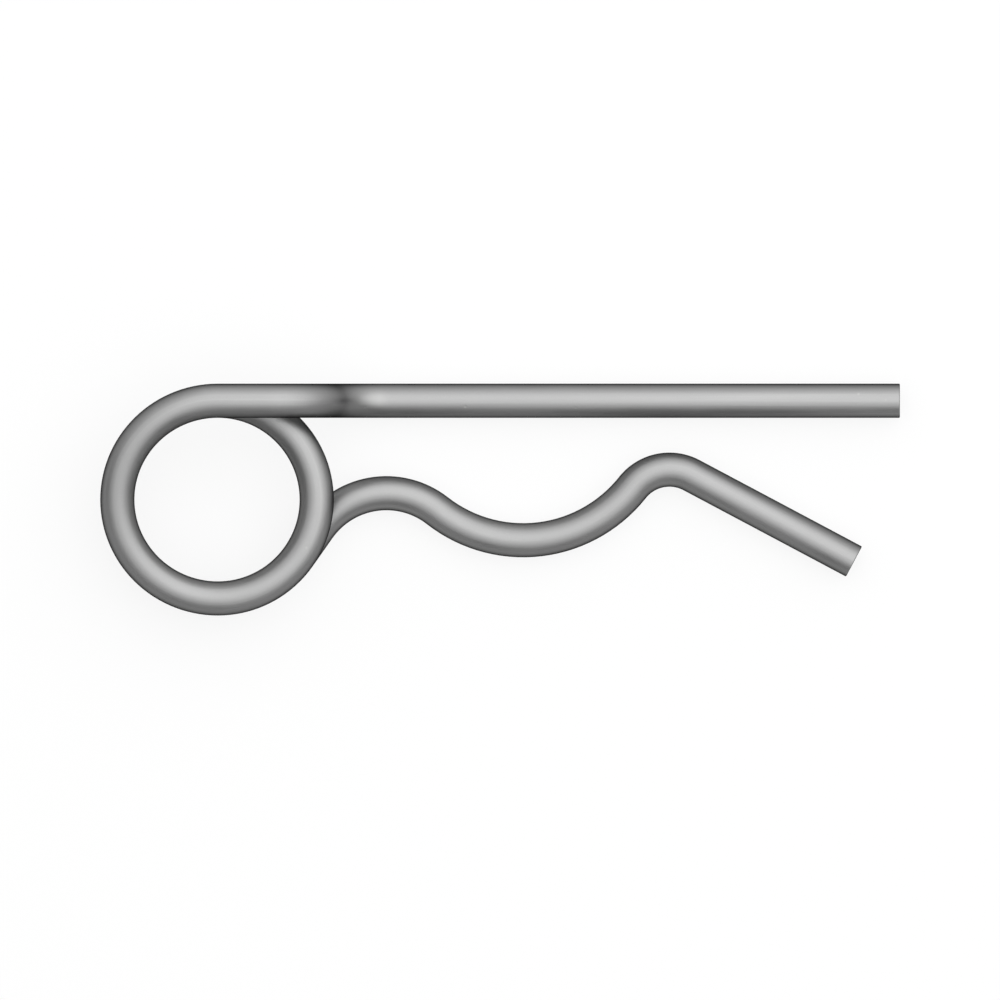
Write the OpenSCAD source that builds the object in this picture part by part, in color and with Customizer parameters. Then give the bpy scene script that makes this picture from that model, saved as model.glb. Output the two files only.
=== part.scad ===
// R clip for a hitch pin, bent from one length of round spring wire.
//
// The clip lies flat. The axes of both legs are in the plane z = 0, the straight leg runs along +X,
// the wavy leg is on the -Y side, and the coil stands up towards +Z. The origin is the centre of the
// hitch pin: the straight leg goes through the pin's cross hole, and the grip closes round its outside.
// From its free end the wire steps up through the jog, winds anticlockwise and down through the coil,
// and leaves it along the heel, the bump, the grip, the peak and the tail.

/* [Wire] */
// Diameter of the round wire
wire_d = 4; // [3:0.1:5]

/* [Coil] */
// Inside diameter of the coil, which is the finger loop
coil_inner_d = 19.1; // [16:0.1:24]
// Gap between one turn of the coil and the next, where they lie closest
coil_gap = 0.17; // [0.05:0.01:1]

/* [Wavy leg] */
// Straight length of the heel, between the coil and the bump
heel_len = 4; // [2:0.1:10]
// Inside bend radius of the bump
bump_bend_r = 7.7; // [6:0.1:10]
// Gap between the bump and the straight leg
bump_gap = 6.8; // [5:0.1:9]
// Inside diameter of the grip, which is the hitch pin's own diameter
grip_d = 28.6; // [25:0.1:34]
// Inside bend radius of the peak
peak_bend_r = 3.5; // [2.5:0.1:5]
// Gap between the peak and the straight leg, which springs open as the clip goes over the hitch pin
throat_gap = 4.05; // [2.5:0.05:6]
// Angle between the tail and the straight leg
tail_a = 28; // [15:1:40]
// Straight length of the tail
tail_len = 21.5; // [10:0.1:30]

/* [Straight leg] */
// Reach of the straight leg past the middle of the hitch pin
leg_reach = 44; // [30:0.5:60]
// Distance from the coil's outer edge in to the middle of the jog
jog_inset = 0.5; // [-1:0.1:1]
// Inside radius of the jog's two bends
jog_bend_r = 6.45; // [5:0.05:8]
// Straight length between the jog's two bends
jog_mid_len = 0.7; // [0.2:0.1:3]

/* [Hidden] */
$fn = 96;

// Each joint between two stretches of wire is covered by a ball, which stands this far proud of them
joint_rise = 0.01;

// Bend radii at the wire's axis
coil_r = (coil_inner_d + wire_d) / 2;
bump_r = bump_bend_r + wire_d / 2;
grip_r = (grip_d + wire_d) / 2;
peak_r = peak_bend_r + wire_d / 2;
jog_r = jog_bend_r + wire_d / 2;

// Each turn drops by one pitch, all of it over its left half, which leans by lean_a
lean_a = asin((wire_d + coil_gap) / (2 * coil_r));
pitch = (wire_d + coil_gap) / cos(lean_a);

// The bump and the peak meet the grip at these angles from straight below its centre
bump_y = -(wire_d + bump_gap + bump_r);
bump_a = acos(-bump_y / (grip_r + bump_r));
bump_x = -(grip_r + bump_r) * sin(bump_a);
peak_y = -(wire_d + throat_gap + peak_r);
peak_a = acos(-peak_y / (grip_r + peak_r));
peak_x = (grip_r + peak_r) * sin(peak_a);

// The heel rises at heel_a and is tangent to the coil's outside turn and to the bump
coil_y = -coil_r;
heel_drop = coil_y - bump_y;
heel_run = sqrt(pow(coil_r + bump_r, 2) + pow(heel_len, 2) - pow(heel_drop, 2));
heel_a = 90 - atan2(heel_drop, heel_run) - atan2(heel_len, coil_r + bump_r);
coil_x = bump_x - heel_run;

// The jog falls at jog_a, and brings the straight leg two pitches down from the top of the coil
leg_top_z = 2 * pitch;
jog_a = acos((2 * jog_r - leg_top_z) / norm([2 * jog_r, jog_mid_len])) - atan2(jog_mid_len, 2 * jog_r);
jog_len = 2 * jog_r * sin(jog_a) + jog_mid_len * cos(jog_a);
jog_x = coil_x + coil_r + wire_d / 2 - jog_inset - jog_len / 2;
leg_x = jog_x + jog_len;

// Ball over a joint at the origin, where the wire runs along X; its poles are inside the wire
module joint() {
    rotate([0, 90, 0]) sphere(d = wire_d + 2 * joint_rise);
}

// Straight stretch from the origin along +X
module rod(length) {
    rotate([0, 90, 0]) cylinder(h = length, d = wire_d);
}

// Straight stretch from the origin along +X, joined at its start to the stretch before
module run(length) {
    joint();
    rod(length);
}

// Bent stretch in the XY plane about the origin, joined at its start to the stretch before
module bend(radius, start_a, end_a) {
    rotate([0, 0, start_a]) translate([radius, 0, 0]) rotate([0, 0, 90]) joint();
    rotate([0, 0, min(start_a, end_a)])
        rotate_extrude(angle = abs(end_a - start_a))
            translate([radius, 0]) circle(d = wire_d);
}

// From the free end back through the jog to the top of the coil
module straight_leg() {
    translate([leg_x, 0, 0]) rod(leg_reach - leg_x);
    translate([jog_x, 0, leg_top_z]) {
        jog();
        rotate([0, 0, 180]) run(jog_x - coil_x);
    }
}

// Two opposite bends in the XZ plane, from the straight leg up to the origin
module jog() {
    translate([jog_len, 0, jog_r - leg_top_z])
        rotate([90, 0, 0]) bend(jog_r, 270, 270 - jog_a);
    translate([jog_len - jog_r * sin(jog_a), 0, jog_r * (1 - cos(jog_a)) - leg_top_z])
        rotate([0, 180 + jog_a, 0]) run(jog_mid_len);
    translate([0, 0, -jog_r])
        rotate([90, 0, 0]) bend(jog_r, 90 - jog_a, 90);
}

// A little over one and a half turns, from the top one down to the level of the wavy leg
module coil() {
    translate([coil_x, coil_y, 0]) {
        translate([0, 0, 1.5 * pitch]) leaning_half();
        translate([0, 0, pitch]) bend(coil_r, -90, 90);
        translate([0, 0, 0.5 * pitch]) leaning_half();
        bend(coil_r, -90, heel_a - 90);
    }
}

// Left half of a turn, which starts half a pitch above its middle and ends half a pitch below it
module leaning_half() {
    rotate([lean_a, 0, 0]) bend(coil_r / cos(lean_a), 90, 270);
}

// From the coil out to the tip of the tail
module wavy_leg() {
    translate([coil_x + coil_r * sin(heel_a), coil_y - coil_r * cos(heel_a), 0])
        rotate([0, 0, heel_a]) run(heel_len);
    translate([bump_x, bump_y, 0]) bend(bump_r, 90 + heel_a, 90 - bump_a);
    bend(grip_r, -90 - bump_a, -90 + peak_a);
    translate([peak_x, peak_y, 0]) {
        bend(peak_r, 90 + peak_a, 90 - tail_a);
        rotate([0, 0, -tail_a]) translate([0, peak_r, 0]) run(tail_len);
    }
}

module clip() {
    color("silver") {
        straight_leg();
        coil();
        wavy_leg();
    }
}

clip();
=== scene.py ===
"""Looks of an R clip: one length of zinc-plated spring steel wire, round and cut square.

The wire is made here as a bending machine makes it. One ring of points stands at the free end
of the straight leg. It is extruded along each straight stretch and spun round the axis of each
bend, through the jog, the coil, the heel, the bump, the grip and the peak, to the tip of the tail.

Lengths are in millimetres until they reach a mesh. The frame is the CAD model's: the middle of
the hitch pin at the origin, the straight leg along +X, and the coil rising towards +Z.
"""

import logging
import math
from dataclasses import dataclass, field
from enum import Enum

import bpy
from mathutils import Matrix, Vector

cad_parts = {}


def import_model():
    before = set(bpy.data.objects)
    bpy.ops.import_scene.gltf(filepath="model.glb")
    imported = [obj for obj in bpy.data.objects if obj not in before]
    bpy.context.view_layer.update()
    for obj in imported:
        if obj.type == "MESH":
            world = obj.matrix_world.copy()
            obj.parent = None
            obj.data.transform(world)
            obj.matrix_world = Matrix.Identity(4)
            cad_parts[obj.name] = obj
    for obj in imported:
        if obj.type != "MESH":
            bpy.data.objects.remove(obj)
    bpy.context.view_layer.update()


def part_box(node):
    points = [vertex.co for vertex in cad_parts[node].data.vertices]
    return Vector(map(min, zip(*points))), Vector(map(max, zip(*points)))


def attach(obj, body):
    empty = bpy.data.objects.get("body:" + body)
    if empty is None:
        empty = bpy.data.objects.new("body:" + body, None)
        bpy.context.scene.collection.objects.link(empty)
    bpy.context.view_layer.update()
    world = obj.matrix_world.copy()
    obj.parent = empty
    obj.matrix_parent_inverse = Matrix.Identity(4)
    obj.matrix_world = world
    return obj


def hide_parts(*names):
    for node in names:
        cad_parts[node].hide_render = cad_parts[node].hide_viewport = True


LOG = logging.getLogger("r_clip")
MM = 0.001
# Diameter of the wire, in millimetres.
WIRE_D = 4.0
# Half a turn, in degrees.
HALF_TURN = 180.0
UP = Vector((0, 0, 1))
DOWN = Vector((0, 0, -1))
WHITE = "#FFFFFF"
# Nearly all of a noise lies between these values.
NOISE_SPAN = {"From Min": 0.3, "From Max": 0.7}
# Numbers of a Mix node's colour sockets, whose names are those of its other sockets too.
MIX_SHARE, MIX_FROM, MIX_TO, MIX_RESULT = 0, 6, 7, 2


def linear(hex_colour: str) -> tuple[float, float, float, float]:
    """Turns an sRGB hex colour into the linear one that a shader takes.

    Args:
        hex_colour: six hex digits after a hash, such as "#8A8F94".

    Returns:
        Red, green, blue and an alpha of 1.
    """
    channels = [int(hex_colour[i : i + 2], 16) / 255 for i in (1, 3, 5)]
    red, green, blue = (
        c / 12.92 if c <= 0.04045 else ((c + 0.055) / 1.055) ** 2.4 for c in channels
    )
    return red, green, blue, 1.0


def add_node(
    tree: bpy.types.NodeTree,
    kind: str,
    inputs: dict[str | int, object] | None = None,
    **settings: object,
) -> bpy.types.Node:
    """Adds one node, with its settings and links.

    Args:
        tree: the node tree that takes the node.
        kind: the node's type, such as "ShaderNodeMix".
        inputs: what each input takes, by its name or number: a value, the output socket that
            feeds it, or a node whose first output feeds it.
        **settings: the node's own properties.

    Returns:
        The new node.
    """
    node = tree.nodes.new(kind)
    for name, value in settings.items():
        setattr(node, name, value)
    for key, value in (inputs or {}).items():
        if isinstance(value, bpy.types.Node):
            value = value.outputs[0]
        if isinstance(value, bpy.types.NodeSocket):
            tree.links.new(value, node.inputs[key])
        else:
            node.inputs[key].default_value = value
    return node


def new_material(name: str) -> tuple[bpy.types.Material, bpy.types.NodeTree]:
    """Makes a material whose node tree is empty.

    Args:
        name: the material's name.

    Returns:
        The material and its node tree.
    """
    material = bpy.data.materials.new(name)
    material.use_nodes = True
    material.node_tree.nodes.clear()
    return material, material.node_tree


class Layer(Enum):
    """Attributes that the wire's mesh carries for its finish."""

    DRAWN = "drawn"
    """The point's place on the wire before it was bent, in metres, with X along the wire."""

    BEND = "bend"
    """How the bending strained the wire: 1 inside a bend, -1 outside it and 0 where straight."""


class Slot(Enum):
    """Places of the wire's materials on its mesh."""

    DRAWN_SIDE = 0
    """The wire's side, as the die left it."""

    CUT_END = 1
    """Both ends of the wire."""


@dataclass(frozen=True)
class PassivatedZinc:
    """Zinc plate under its passivate film, on whatever lies below.

    Zinc is a light grey metal with no hue. The passivate is a film under a micrometre thick. It
    mirrors nothing of its own, and takes more of the zinc's light the more one looks along it, so
    a plated wire is light grey down its middle and dark at both sides.

    Args:
        film: colour of white light that comes out straight through the film.
        film_cover: share of the zinc that the film covers.
        film_ior: IOR of the film. At 1, which is that of air, the film mirrors nothing.
        film_roughness: roughness of the film, for viewers that gloss every coat.
        edge: colour of the zinc where one looks along it.
    """

    film: str = "#B0B0B0"
    film_cover: float = 0.97
    film_ior: float = 1.0
    film_roughness: float = 0.5
    edge: str = "#000000"

    @staticmethod
    def grain(
        tree: bpy.types.NodeTree,
        place: bpy.types.NodeSocket,
        size_mm: tuple[float, float, float],
        detail: float,
    ) -> bpy.types.Node:
        """Lays a soft grain of a real size over the metal.

        Args:
            tree: the node tree.
            place: where a point of the metal is, in metres.
            size_mm: size of one grain along X, Y and Z.
            detail: octaves of finer grain.

        Returns:
            The grain's height, nearly all of it within NOISE_SPAN.
        """
        scale = tuple(1 / (size * MM) for size in size_mm)
        scaled = add_node(
            tree, "ShaderNodeVectorMath", {0: place, 1: scale}, operation="MULTIPLY"
        )
        return add_node(
            tree, "ShaderNodeTexNoise", {"Vector": scaled, "Scale": 1.0, "Detail": detail}
        )

    def plate(
        self,
        tree: bpy.types.NodeTree,
        colour: bpy.types.Node | bpy.types.NodeSocket,
        rough: bpy.types.Node,
        normal: bpy.types.Node,
    ) -> None:
        """Adds the plate's shader, and ends the node tree with it.

        Args:
            tree: the node tree.
            colour: the zinc's colour.
            rough: its roughness.
            normal: its normal.
        """
        inputs = {
            "Base Color": colour,
            "Metallic": 1.0,
            "Roughness": rough,
            "Specular Tint": linear(self.edge),
            "Normal": normal,
            "Coat Weight": self.film_cover,
            "Coat IOR": self.film_ior,
            "Coat Roughness": self.film_roughness,
            "Coat Tint": linear(self.film),
        }
        shader = add_node(tree, "ShaderNodeBsdfPrincipled", inputs)
        add_node(tree, "ShaderNodeOutputMaterial", {"Surface": shader})


@dataclass(frozen=True)
class ZincPlatedDrawnSteel(PassivatedZinc):
    """Side of cold-drawn spring steel wire, barrel-plated with zinc and passivated.

    Fine crystals make the plate satin, and slow changes in its thickness make it a little cloudy.
    The lines that the die left in the steel show through it. The bending tools rubbed the steel
    smooth inside the bends, so the plate is brighter there. Tumbling in the barrel rubbed the
    highest lines bright and left small nicks.

    Args:
        zinc: colour of the zinc.
        rubbed_zinc: its colour where it is rubbed bright.
        roughness: roughness of the zinc.
        roughness_spread: how far the clouds raise and lower it.
        polish: how far rubbing lowers it.
        line_mm: spacing of the draw lines.
        line_length_mm: how far one line runs.
        line_depth_mm: how high one stands.
        line_rub: how far the highest lines are rubbed bright, from 0 to 1.
        line_rub_span: height of a line where the rubbing starts, and where it is full.
        bend_rub: how far the inside of a bend is rubbed bright, from 0 to 1.
        bend_rub_span: how far inside a bend the rubbing starts, and where it is full.
        crystal_mm: width of one crystal.
        crystal_depth_mm: how high one stands.
        crystal_shade: how dark and how light a crystal is, beside the zinc's colour.
        cloud_mm: width of one cloud.
        cloud_length_mm: its length along the wire.
        cloud_shade: how dark and how light a cloud is, beside the zinc's colour.
        nick_mm: width of one nick.
        nick_bottom: share of that which is its flat bottom.
        nick_spacing_mm: from one nick to the next.
        nick_depth_mm: how deep one goes.
    """

    zinc: str = "#E7E7E7"
    rubbed_zinc: str = "#EFEFEE"
    roughness: float = 0.5
    roughness_spread: float = 0.05
    polish: float = 0.1
    # Real draw lines are 0.05 mm apart and zinc crystals 0.02 mm wide. Both are coarser here, so
    # that they show at all.
    line_mm: float = 0.28
    line_length_mm: float = 30.0
    line_depth_mm: float = 0.012
    line_rub: float = 0.5
    line_rub_span: tuple[float, float] = (0.55, 0.8)
    bend_rub: float = 0.6
    bend_rub_span: tuple[float, float] = (0.4, 1.0)
    crystal_mm: float = 0.1
    crystal_depth_mm: float = 0.006
    crystal_shade: tuple[float, float] = (0.975, 1.02)
    cloud_mm: float = 3.0
    cloud_length_mm: float = 7.5
    cloud_shade: tuple[float, float] = (0.96, 1.03)
    nick_mm: float = 0.45
    nick_bottom: float = 0.3
    nick_spacing_mm: float = 3.4
    nick_depth_mm: float = 0.02

    def material(self) -> bpy.types.Material:
        """Builds the finish of the wire's side.

        Returns:
            The material.
        """
        material, tree = new_material("zinc_plated_drawn_spring_steel")
        place = add_node(
            tree, "ShaderNodeAttribute", attribute_name=Layer.DRAWN.value
        ).outputs["Vector"]
        line_size = (self.line_length_mm, self.line_mm, self.line_mm)
        lines = self.grain(tree, place, line_size, detail=3.0)
        crystal_size = (self.crystal_mm, self.crystal_mm, self.crystal_mm)
        crystals = self.grain(tree, place, crystal_size, detail=1.0)
        cloud_size = (self.cloud_length_mm, self.cloud_mm, self.cloud_mm)
        clouds = self.grain(tree, place, cloud_size, detail=2.0)
        nicks = self._nicks(tree, place)
        rubbed = self._rubbed(tree, lines, nicks)

        low, high = self.roughness - self.roughness_spread, self.roughness + self.roughness_spread
        satin = add_node(
            tree,
            "ShaderNodeMapRange",
            {"Value": clouds, **NOISE_SPAN, "To Min": low, "To Max": high},
        )
        rough = add_node(
            tree,
            "ShaderNodeMath",
            {0: rubbed, 1: -self.polish, 2: satin},
            operation="MULTIPLY_ADD",
        )
        self.plate(
            tree,
            colour=self._colour(tree, rubbed, clouds, crystals),
            rough=rough,
            normal=self._relief(tree, lines, crystals, nicks),
        )
        return material

    def _nicks(self, tree: bpy.types.NodeTree, place: bpy.types.NodeSocket) -> bpy.types.Node:
        """Scatters the nicks from the plating barrel.

        Args:
            tree: the node tree.
            place: the point on the straight wire, in metres.

        Returns:
            1 in the middle of a nick and 0 off it.
        """
        spacing = self.nick_spacing_mm * MM
        cells = add_node(tree, "ShaderNodeTexVoronoi", {"Vector": place, "Scale": 1 / spacing})
        rim = self.nick_mm / 2 / self.nick_spacing_mm
        bottom = self.nick_bottom * rim
        return add_node(
            tree,
            "ShaderNodeMapRange",
            {"Value": cells, "From Min": bottom, "From Max": rim, "To Min": 1.0, "To Max": 0.0},
        )

    def _rubbed(
        self, tree: bpy.types.NodeTree, lines: bpy.types.Node, nicks: bpy.types.Node
    ) -> bpy.types.Node:
        """Finds where the plate is bright: inside the bends, on the highest lines, in the nicks.

        Args:
            tree: the node tree.
            lines: height of the draw lines.
            nicks: 1 in a nick and 0 off it.

        Returns:
            How far the plate is rubbed, from 0 to 1.
        """
        bend = add_node(
            tree, "ShaderNodeAttribute", attribute_name=Layer.BEND.value
        ).outputs["Fac"]
        rubbed = nicks
        for value, (start, full), rub in (
            (bend, self.bend_rub_span, self.bend_rub),
            (lines, self.line_rub_span, self.line_rub),
        ):
            inputs = {"Value": value, "From Min": start, "From Max": full, "To Max": rub}
            worn = add_node(tree, "ShaderNodeMapRange", inputs)
            rubbed = add_node(
                tree, "ShaderNodeMath", {0: rubbed, 1: worn}, operation="MAXIMUM"
            )
        return rubbed

    def _colour(
        self,
        tree: bpy.types.NodeTree,
        rubbed: bpy.types.Node,
        clouds: bpy.types.Node,
        crystals: bpy.types.Node,
    ) -> bpy.types.Node:
        """Colours the zinc.

        Args:
            tree: the node tree.
            rubbed: how far the plate is rubbed, from 0 to 1.
            clouds: the clouds in the plate.
            crystals: its crystals.

        Returns:
            The zinc's colour.
        """
        colour = add_node(
            tree,
            "ShaderNodeMix",
            {MIX_SHARE: rubbed, MIX_FROM: linear(self.zinc), MIX_TO: linear(self.rubbed_zinc)},
            data_type="RGBA",
        ).outputs[MIX_RESULT]
        for pattern, (dark, light) in (
            (clouds, self.cloud_shade),
            (crystals, self.crystal_shade),
        ):
            inputs = {"Value": pattern, **NOISE_SPAN, "To Min": dark, "To Max": light}
            shade = add_node(tree, "ShaderNodeMapRange", inputs)
            colour = add_node(
                tree, "ShaderNodeVectorMath", {0: colour, "Scale": shade}, operation="SCALE"
            )
        return colour

    def _relief(
        self,
        tree: bpy.types.NodeTree,
        lines: bpy.types.Node,
        crystals: bpy.types.Node,
        nicks: bpy.types.Node,
    ) -> bpy.types.Node:
        """Raises the draw lines and the crystals, and sinks the nicks.

        Args:
            tree: the node tree.
            lines: height of the draw lines.
            crystals: height of the crystals.
            nicks: 1 in a nick and 0 off it.

        Returns:
            The plate's normal.
        """
        inputs = {"Height": lines, "Distance": self.line_depth_mm * MM}
        normal = add_node(tree, "ShaderNodeBump", inputs)
        for height, depth_mm, sunk in (
            (crystals, self.crystal_depth_mm, False),
            (nicks, self.nick_depth_mm, True),
        ):
            inputs = {"Height": height, "Distance": depth_mm * MM, "Normal": normal}
            normal = add_node(tree, "ShaderNodeBump", inputs, invert=sunk)
        return normal


@dataclass(frozen=True)
class ZincPlatedShearCut(PassivatedZinc):
    """End of the wire, cut by a shear and then plated with the rest.

    The zinc and its film follow the cut, so the end is duller than the side: smooth where the
    blade went in, and a coarse torn grain beyond.

    Args:
        zinc: colour of the zinc where the cut is smooth.
        torn_zinc: its colour where the steel tore.
        roughness: its roughness where the cut is smooth.
        torn_roughness: its roughness where the steel tore.
        tear_mm: width of one grain of the tear.
        tear_length_mm: its length down the cut.
        tear_depth_mm: how high one stands.
    """

    zinc: str = "#E0E0E0"
    torn_zinc: str = "#C4C4C3"
    roughness: float = 0.5
    torn_roughness: float = 0.65
    tear_mm: float = 0.22
    tear_length_mm: float = 0.73
    tear_depth_mm: float = 0.04

    def material(self) -> bpy.types.Material:
        """Builds the finish of a cut end.

        Returns:
            The material.
        """
        material, tree = new_material("zinc_plated_sheared_spring_steel")
        place = add_node(tree, "ShaderNodeTexCoord").outputs["Object"]
        tear_size = (self.tear_mm, self.tear_mm, self.tear_length_mm)
        torn = self.grain(tree, place, tear_size, detail=4.0)
        low, high = self.roughness, self.torn_roughness
        rough = add_node(
            tree,
            "ShaderNodeMapRange",
            {"Value": torn, **NOISE_SPAN, "To Min": low, "To Max": high},
        )
        colour = add_node(
            tree,
            "ShaderNodeMix",
            {MIX_SHARE: torn, MIX_FROM: linear(self.zinc), MIX_TO: linear(self.torn_zinc)},
            data_type="RGBA",
        ).outputs[MIX_RESULT]
        relief = {"Height": torn, "Distance": self.tear_depth_mm * MM}
        self.plate(tree, colour, rough, normal=add_node(tree, "ShaderNodeBump", relief))
        return material


@dataclass(frozen=True)
class WhitePaper:
    """Matt white paper, which the camera and the zinc see as plain white.

    Args:
        name: the material's name.
        white_share: how far they see plain white, and not lit paper with a shadow on it.
        paper: the paper's colour.
    """

    name: str
    white_share: float = 1.0
    paper: str = "#EBEBEB"

    def material(self) -> bpy.types.Material:
        """Builds the paper, which is clear from behind, so that the clip shows from below too.

        Returns:
            The material.
        """
        material, tree = new_material(self.name)
        paper = add_node(tree, "ShaderNodeBsdfDiffuse", {"Color": linear(self.paper)})
        white = add_node(tree, "ShaderNodeEmission", {"Color": linear(WHITE)})
        rays = add_node(tree, "ShaderNodeLightPath").outputs
        seen = rays["Is Camera Ray"]
        for ray in ("Is Glossy Ray", "Is Transmission Ray"):
            seen = add_node(tree, "ShaderNodeMath", {0: seen, 1: rays[ray]}, operation="MAXIMUM")
        share = add_node(
            tree, "ShaderNodeMath", {0: seen, 1: self.white_share}, operation="MULTIPLY"
        )
        front = add_node(tree, "ShaderNodeMixShader", {0: share, 1: paper, 2: white})
        behind = add_node(tree, "ShaderNodeNewGeometry").outputs["Backfacing"]
        clear = add_node(tree, "ShaderNodeBsdfTransparent")
        sheet = add_node(tree, "ShaderNodeMixShader", {0: behind, 1: front, 2: clear})
        add_node(tree, "ShaderNodeOutputMaterial", {"Surface": sheet})
        return material


@dataclass(frozen=True)
class Bend:
    """One bend of the wire.

    Args:
        first: its first ring of points.
        last: its last ring of points.
        centre: a point on the axis that it turns about.
        axis: unit vector along that axis.
        radius: bend radius at the wire's middle.
    """

    first: int
    last: int
    centre: Vector
    axis: Vector
    radius: float


@dataclass
class Wire:
    """The length of wire itself, which the parts of the clip feed out and bend in turn.

    Args:
        diameter: the wire's diameter.
        sides: points round the wire.
        bend_step: largest angle between two rings of points in a bend, in degrees.
        bend_onset: length over which a bend comes in, at each end of it.
        rim_radius: radius of the tumbled rim round each cut end.
        rim_steps: rings of faces in that rim.
        sharp_angle: angle above which an edge stays sharp, in degrees.
        free_end: the middle of the end that the wire starts from.
        tip: the middle of its other end, where it is now.
        heading: unit vector along the wire at its tip.
        fed: length of wire from the free end to each ring of points.
        bends: the bends made so far.
    """

    diameter: float = WIRE_D
    sides: int = 64
    bend_step: float = 3.0
    bend_onset: float = 2.0
    rim_radius: float = 0.12
    rim_steps: int = 3
    sharp_angle: float = 40.0
    free_end: Vector = field(default_factory=Vector)
    tip: Vector = field(default_factory=Vector)
    heading: Vector = field(default_factory=Vector)
    fed: list[float] = field(default_factory=list)
    bends: list[Bend] = field(default_factory=list)

    def start(self, place: Vector, heading: Vector) -> None:
        """Puts the first ring of the wire at its free end.

        Args:
            place: centre of the free end.
            heading: unit vector along the wire.
        """
        self.free_end, self.tip, self.heading = place.copy(), place.copy(), heading.copy()
        self.fed = [0.0]
        bpy.ops.object.select_all(action="DESELECT")
        turn = UP.rotation_difference(heading).to_euler()
        bpy.ops.mesh.primitive_circle_add(
            vertices=self.sides,
            radius=self.diameter / 2 * MM,
            fill_type="NOTHING",
            location=place * MM,
            rotation=turn,
            enter_editmode=True,
        )
        bpy.ops.mesh.select_all(action="SELECT")

    def feed(self, length: float) -> None:
        """Feeds out a straight stretch of wire.

        Args:
            length: the stretch's length.
        """
        move = self.heading * length
        bpy.ops.mesh.extrude_region_move(TRANSFORM_OT_translate={"value": move * MM})
        self.tip += move
        self.fed.append(self.fed[-1] + length)

    def bend(self, radius: float, angle: float, axis: Vector) -> None:
        """Bends the wire through an arc.

        Args:
            radius: bend radius at the wire's middle.
            angle: angle of the bend, in degrees.
            axis: unit vector that the wire turns about, by the right-hand rule.
        """
        centre = self.tip + axis.cross(self.heading) * radius
        steps = math.ceil(angle / self.bend_step)
        first = len(self.fed) - 1
        bpy.ops.mesh.spin(
            steps=steps,
            dupli=False,
            angle=-math.radians(angle),
            center=centre * MM,
            axis=axis,
        )
        turn = Matrix.Rotation(math.radians(angle), 3, axis)
        self.tip = centre + turn @ (self.tip - centre)
        self.heading = turn @ self.heading
        step = radius * math.radians(angle) / steps
        self.fed += [self.fed[first] + step * i for i in range(1, steps + 1)]
        self.bends.append(Bend(first, len(self.fed) - 1, centre, axis.copy(), radius))

    def finish(self, name: str) -> bpy.types.Object:
        """Closes both ends of the wire and writes what its finish reads.

        Args:
            name: the piece's name.

        Returns:
            The finished wire, with its place in its mesh.
        """
        bpy.ops.object.mode_set(mode="OBJECT")
        wire = bpy.context.object
        wire.name = wire.data.name = name
        bpy.ops.object.transform_apply(location=True, rotation=True, scale=True)
        self._write_drawn(wire.data)
        self._write_bend(wire.data)
        self._close_ends(wire.data)
        bpy.ops.object.shade_smooth_by_angle(angle=math.radians(self.sharp_angle))
        return wire

    def _write_drawn(self, mesh: bpy.types.Mesh) -> None:
        """Writes each point's place on the straight wire, before it was bent.

        Args:
            mesh: the wire's mesh, with its points ring by ring.
        """
        layer = mesh.attributes.new(Layer.DRAWN.value, "FLOAT_VECTOR", "POINT")
        radius = self.diameter / 2
        for index, entry in enumerate(layer.data):
            ring, side = divmod(index, self.sides)
            turn = math.tau * side / self.sides
            place = Vector((self.fed[ring], radius * math.cos(turn), radius * math.sin(turn)))
            entry.vector = place * MM

    def _write_bend(self, mesh: bpy.types.Mesh) -> None:
        """Writes how far each point is on the inside or the outside of a bend.

        Bends about one middle, such as the coil's half turns, count as one long bend.

        Args:
            mesh: the wire's mesh, with its points ring by ring.
        """
        layer = mesh.attributes.new(Layer.BEND.value, "FLOAT", "POINT")
        for bend in self.bends:
            coiled = [b for b in self.bends if (b.centre - bend.centre).length < bend.radius]
            start, end = self.fed[coiled[0].first], self.fed[coiled[-1].last]
            for ring in range(bend.first, bend.last + 1):
                to_end = min(self.fed[ring] - start, end - self.fed[ring])
                share = min(to_end / self.bend_onset, 1.0)
                for index in range(ring * self.sides, (ring + 1) * self.sides):
                    arm = mesh.vertices[index].co / MM - bend.centre
                    outwards = (arm - bend.axis * arm.dot(bend.axis)).length - bend.radius
                    layer.data[index].value = -share * outwards / (self.diameter / 2)

    def _close_ends(self, mesh: bpy.types.Mesh) -> None:
        """Caps both ends, and rounds the rim of each cap.

        Args:
            mesh: the wire's mesh, open at both ends.
        """
        bpy.ops.object.mode_set(mode="EDIT")
        bpy.ops.mesh.select_mode(type="VERT")
        bpy.ops.mesh.select_all(action="SELECT")
        bpy.ops.mesh.fill_holes(sides=0)
        bpy.ops.mesh.normals_make_consistent(inside=False)
        bpy.ops.mesh.select_all(action="DESELECT")
        bpy.ops.object.mode_set(mode="OBJECT")
        for face in mesh.polygons:
            to_end = min((face.center - end * MM).length for end in (self.free_end, self.tip))
            face.select = to_end < self.rim_radius * MM
            face.material_index = (Slot.CUT_END if face.select else Slot.DRAWN_SIDE).value
        bpy.ops.object.mode_set(mode="EDIT")
        bpy.ops.mesh.select_mode(type="FACE")
        bpy.ops.mesh.bevel(offset=self.rim_radius * MM, segments=self.rim_steps)
        bpy.ops.object.mode_set(mode="OBJECT")


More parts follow.
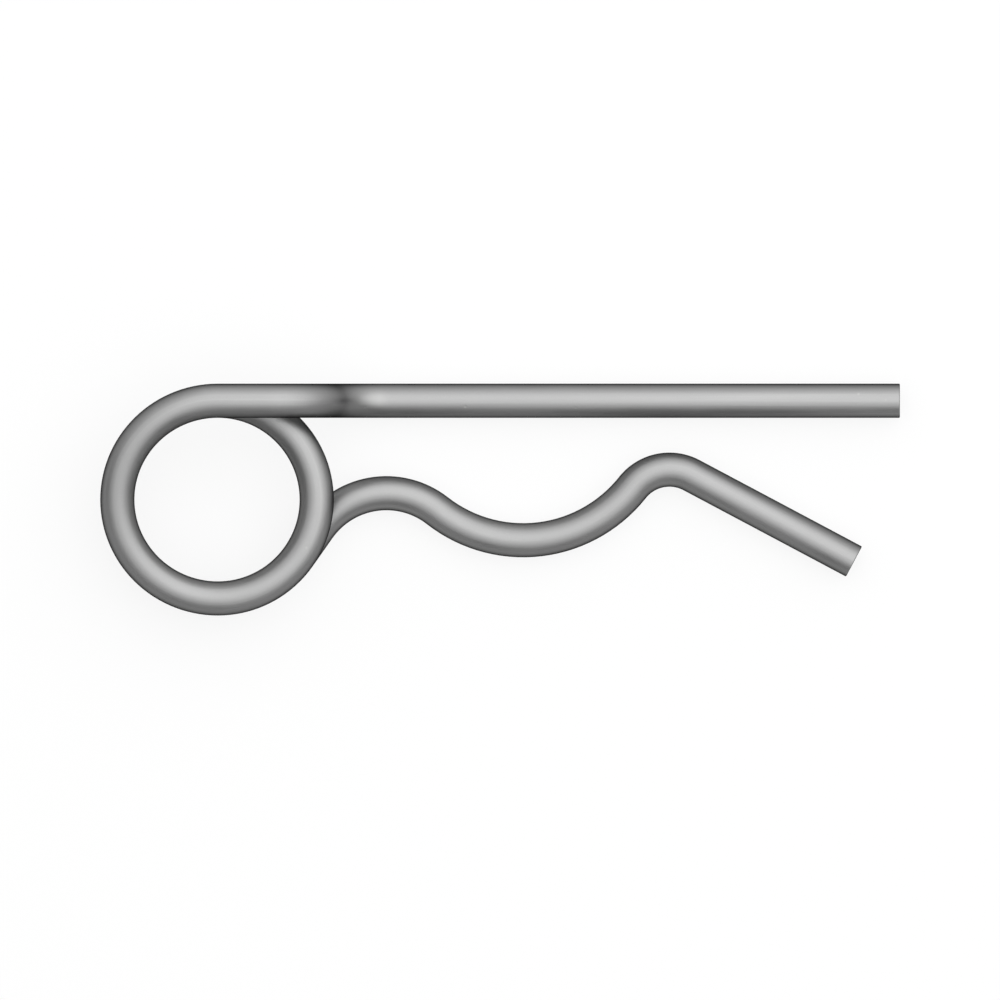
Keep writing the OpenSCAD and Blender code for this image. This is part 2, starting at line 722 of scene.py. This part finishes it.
@dataclass
class Coil:
    """Finger loop: a little over one and a half turns, wound down towards the wavy leg.

    Each turn drops by one pitch, all of it over its left half, which leans.

    Args:
        wire_d: the wire's diameter.
        inner_d: inside diameter of the coil, seen from above.
        gap: gap between one turn and the next.
    """

    wire_d: float = WIRE_D
    inner_d: float = 19.1
    gap: float = 0.17

    @property
    def radius(self) -> float:
        """Radius at the wire's middle, seen from above."""
        return (self.inner_d + self.wire_d) / 2

    @property
    def lean(self) -> float:
        """Lean of the left half turns about X, in degrees."""
        return math.degrees(math.asin((self.wire_d + self.gap) / (2 * self.radius)))

    @property
    def pitch(self) -> float:
        """Drop of one turn."""
        return (self.wire_d + self.gap) / math.cos(math.radians(self.lean))

    def wind(self, wire: Wire, leave: float) -> None:
        """Winds the coil.

        Args:
            wire: the wire, at the top of the coil and heading for -X.
            leave: angle between the heel and the straight leg, in degrees.
        """
        lean = math.radians(self.lean)
        leaning_axis = Vector((0, -math.sin(lean), math.cos(lean)))
        leaning_radius = self.radius / math.cos(lean)
        wire.bend(leaning_radius, HALF_TURN, leaning_axis)
        wire.bend(self.radius, HALF_TURN, UP)
        wire.bend(leaning_radius, HALF_TURN, leaning_axis)
        wire.bend(self.radius, leave, UP)


@dataclass
class WavyLeg:
    """Leg that springs over the hitch pin. Each of its stretches is tangent to the next.

    Args:
        wire_d: the wire's diameter.
        heel_len: length of the straight heel between the coil and the bump.
        bump_bend_r: inside radius of the bump's bend.
        bump_gap: gap between the bump and the straight leg.
        grip_d: diameter inside the grip, which goes round the hitch pin.
        peak_bend_r: inside radius of the peak's bend.
        throat_gap: gap between the peak and the straight leg.
        tail_a: angle of the tail away from the straight leg, in degrees.
        tail_len: length of the straight tail.
    """

    wire_d: float = WIRE_D
    heel_len: float = 4.0
    bump_bend_r: float = 7.7
    bump_gap: float = 6.8
    grip_d: float = 28.6
    peak_bend_r: float = 3.5
    throat_gap: float = 4.05
    tail_a: float = 28.0
    tail_len: float = 21.5

    @property
    def bump_r(self) -> float:
        """Bend radius of the bump at the wire's middle."""
        return self.bump_bend_r + self.wire_d / 2

    @property
    def grip_r(self) -> float:
        """Bend radius of the grip at the wire's middle."""
        return (self.grip_d + self.wire_d) / 2

    @property
    def peak_r(self) -> float:
        """Bend radius of the peak at the wire's middle."""
        return self.peak_bend_r + self.wire_d / 2

    @property
    def bump_y(self) -> float:
        """Y of the bump's centre."""
        return -(self.wire_d + self.bump_gap + self.bump_r)

    @property
    def bump_a(self) -> float:
        """Angle at which the bump meets the grip, in degrees from straight below its centre."""
        return math.degrees(math.acos(-self.bump_y / (self.grip_r + self.bump_r)))

    @property
    def peak_a(self) -> float:
        """Angle at which the peak meets the grip, in degrees from straight below its centre."""
        peak_y = -(self.wire_d + self.throat_gap + self.peak_r)
        return math.degrees(math.acos(-peak_y / (self.grip_r + self.peak_r)))

    def heel(self, coil: Coil) -> tuple[float, float]:
        """Solves the heel, which is tangent to the coil and to the bump.

        Args:
            coil: the coil that the heel leaves.

        Returns:
            The heel's angle to the straight leg in degrees, and the X of the coil's centre.
        """
        drop = -coil.radius - self.bump_y
        reach = coil.radius + self.bump_r
        run = math.sqrt(reach**2 + self.heel_len**2 - drop**2)
        angle = 90 - math.degrees(math.atan2(drop, run) + math.atan2(self.heel_len, reach))
        bump_x = -(self.grip_r + self.bump_r) * math.sin(math.radians(self.bump_a))
        return angle, bump_x - run

    def wind(self, wire: Wire, heel_a: float) -> None:
        """Bends the leg.

        Args:
            wire: the wire, where it leaves the coil.
            heel_a: angle between the heel and the straight leg, in degrees.
        """
        wire.feed(self.heel_len)
        wire.bend(self.bump_r, heel_a + self.bump_a, DOWN)
        wire.bend(self.grip_r, self.bump_a + self.peak_a, UP)
        wire.bend(self.peak_r, self.peak_a + self.tail_a, DOWN)
        wire.feed(self.tail_len)


@dataclass
class StraightLeg:
    """Leg that goes through the hitch pin's cross hole, with the jog up to the coil's top.

    Args:
        wire_d: the wire's diameter.
        reach: X of its free end.
        jog_inset: how far the jog begins inside the coil's outline, seen from above.
        jog_bend_r: inside radius of the jog's two bends.
        jog_mid_len: length of the straight wire between them.
    """

    wire_d: float = WIRE_D
    reach: float = 44.0
    jog_inset: float = 0.5
    jog_bend_r: float = 6.45
    jog_mid_len: float = 0.7

    @property
    def jog_r(self) -> float:
        """Radius of the jog's bends at the wire's middle."""
        return self.jog_bend_r + self.wire_d / 2

    def wind(self, wire: Wire, coil: Coil, coil_x: float) -> None:
        """Feeds the leg out from its free end to the top of the coil.

        Args:
            wire: the wire, not yet started.
            coil: the coil that the leg leads to.
            coil_x: X of the coil's centre.
        """
        rise, span = 2 * coil.pitch, 2 * self.jog_r
        angle = math.acos((span - rise) / math.hypot(span, self.jog_mid_len))
        angle -= math.atan2(self.jog_mid_len, span)
        length = span * math.sin(angle) + self.jog_mid_len * math.cos(angle)
        jog_x = coil_x + coil.radius + self.wire_d / 2 - self.jog_inset - length / 2
        wire.start(Vector((self.reach, 0, 0)), Vector((-1, 0, 0)))
        wire.feed(self.reach - jog_x - length)
        wire.bend(self.jog_r, math.degrees(angle), Vector((0, 1, 0)))
        wire.feed(self.jog_mid_len)
        wire.bend(self.jog_r, math.degrees(angle), Vector((0, -1, 0)))
        wire.feed(jog_x - coil_x)


@dataclass
class RClip:
    """The whole clip, which is one piece of wire.

    Args:
        straight_leg: the leg that goes through the hitch pin.
        coil: the finger loop.
        wavy_leg: the leg that goes round the hitch pin.
    """

    straight_leg: StraightLeg = field(default_factory=StraightLeg)
    coil: Coil = field(default_factory=Coil)
    wavy_leg: WavyLeg = field(default_factory=WavyLeg)

    def build(self) -> bpy.types.Object:
        """Bends the wire and dresses it.

        Returns:
            The finished piece.
        """
        wire = Wire()
        heel_a, coil_x = self.wavy_leg.heel(self.coil)
        self.straight_leg.wind(wire, self.coil, coil_x)
        self.coil.wind(wire, heel_a)
        self.wavy_leg.wind(wire, heel_a)
        LOG.info("%.1f mm of wire, tip at %s mm", wire.fed[-1], wire.tip.to_tuple(3))
        piece = wire.finish("clip_wire")
        self.dress(piece)
        return piece

    @staticmethod
    def dress(piece: bpy.types.Object) -> None:
        """Gives the wire its finishes, and ties it to the CAD model.

        Args:
            piece: the wire.
        """
        for finish in (ZincPlatedDrawnSteel(), ZincPlatedShearCut()):
            piece.data.materials.append(finish.material())
        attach(piece, "root")
        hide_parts("clip")


@dataclass(frozen=True)
class Softbox:
    """A round lamp that hangs over the clip and looks at it.

    Args:
        name: the lamp's name.
        diameter: its diameter, in metres.
        brightness: how bright its face is, where 1 is plain white.
        right: tilt from straight above towards +X, in degrees.
        up: tilt from straight above towards +Y, in degrees.
        distance: from the clip, in metres.
    """

    name: str
    diameter: float
    brightness: float
    right: float
    up: float
    distance: float = 0.6

    def hang(self) -> None:
        """Hangs the lamp."""
        face = math.pi * (self.diameter / 2) ** 2
        right, up = math.radians(self.right), math.radians(self.up)
        towards = Vector((math.tan(right), math.tan(up), 1)).normalized()
        lamp = bpy.data.lights.new(self.name, "AREA")
        lamp.shape, lamp.size = "DISK", self.diameter
        lamp.energy = self.brightness * math.pi * face
        hung = bpy.data.objects.new(self.name, lamp)
        hung.location = towards * self.distance
        hung.rotation_euler = towards.to_track_quat("Z", "Y").to_euler()
        hung.visible_camera = False
        bpy.context.scene.collection.objects.link(hung)


@dataclass
class Studio:
    """White paper, softboxes overhead and a camera that looks straight down.

    Args:
        frame_mm: width of the camera's picture.
        aim_mm: X and Y under the middle of the picture.
        camera_height: height of the camera, in metres.
        paper_radius: radius of the paper floor, in metres.
        paper_sides: corners round the floor.
        floor_white: how far the floor looks plain white, and not lit paper with a shadow on it.
        tray_depth: how far the paper tray round it reaches above and below the floor, in metres.
        room: brightness of the room round the lamps, where 1 is plain white.
        softboxes: the lamps.
    """

    frame_mm: float = 116.82
    aim_mm: tuple[float, float] = (-2.714, -11.596)
    camera_height: float = 0.3
    paper_radius: float = 2.5
    paper_sides: int = 96
    floor_white: float = 0.85
    tray_depth: float = 0.15
    room: float = 0.25
    softboxes: tuple[Softbox, ...] = (
        Softbox("ceiling_softbox", diameter=2.6, brightness=0.97, right=9, up=20),
        Softbox("key_softbox", diameter=0.9, brightness=0.77, right=19, up=22),
    )

    def build(self, floor_z: float) -> None:
        """Builds the studio.

        Args:
            floor_z: height of the floor, in metres.
        """
        self._lay_floor(floor_z)
        self._stand_tray(floor_z)
        for softbox in self.softboxes:
            softbox.hang()
        self._light_room()
        self._place_camera()

    def _lay_floor(self, floor_z: float) -> None:
        """Lays the paper that the clip lies on.

        Args:
            floor_z: height of the floor, in metres.
        """
        bpy.ops.object.select_all(action="DESELECT")
        bpy.ops.mesh.primitive_circle_add(
            vertices=self.paper_sides,
            radius=self.paper_radius,
            fill_type="NGON",
            location=(0, 0, floor_z),
        )
        floor = bpy.context.object
        floor.name = "paper_floor"
        floor.data.materials.append(WhitePaper("white_paper_floor", self.floor_white).material())

    def _stand_tray(self, floor_z: float) -> None:
        """Stands an open paper tray round the floor and under it, for low views to see white.

        Args:
            floor_z: height of the floor, in metres.
        """
        bpy.ops.object.select_all(action="DESELECT")
        bpy.ops.mesh.primitive_circle_add(
            vertices=self.paper_sides,
            radius=self.paper_radius,
            fill_type="NGON",
            location=(0, 0, floor_z - self.tray_depth),
            enter_editmode=True,
        )
        bpy.ops.mesh.select_all(action="SELECT")
        bpy.ops.mesh.region_to_loop()
        rise = (0, 0, 2 * self.tray_depth)
        bpy.ops.mesh.extrude_edges_move(TRANSFORM_OT_translate={"value": rise})
        bpy.ops.mesh.select_all(action="SELECT")
        bpy.ops.mesh.normals_make_consistent(inside=True)
        bpy.ops.object.mode_set(mode="OBJECT")
        tray = bpy.context.object
        tray.name = "paper_tray"
        tray.data.materials.append(WhitePaper("white_paper_tray").material())

    def _light_room(self) -> None:
        """Gives the room its plain dim light."""
        world = bpy.data.worlds.new("studio_room")
        world.use_nodes = True
        world.node_tree.nodes.clear()
        light = {"Color": linear(WHITE), "Strength": self.room}
        room = add_node(world.node_tree, "ShaderNodeBackground", light)
        add_node(world.node_tree, "ShaderNodeOutputWorld", {"Surface": room.outputs[0]})
        bpy.context.scene.world = world

    def _place_camera(self) -> None:
        """Puts the camera straight above the clip, with +Y up in the picture."""
        lens = bpy.data.cameras.new("plan_camera")
        lens.type, lens.ortho_scale = "ORTHO", self.frame_mm * MM
        camera = bpy.data.objects.new("plan_camera", lens)
        camera.location = (self.aim_mm[0] * MM, self.aim_mm[1] * MM, self.camera_height)
        bpy.context.scene.collection.objects.link(camera)
        bpy.context.scene.camera = camera


def main() -> None:
    """Loads the CAD model, builds the clip and the studio round it, and logs the wire's length and
    faces.
    """
    logging.basicConfig(level=logging.INFO, format="%(name)s: %(message)s")
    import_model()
    Studio().build(floor_z=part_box("clip")[0].z)
    piece = RClip().build()
    LOG.info("%s: %d faces", piece.name, len(piece.data.polygons))
    bpy.context.scene.view_settings.view_transform = "Standard"


if __name__ == "__main__":
    main()
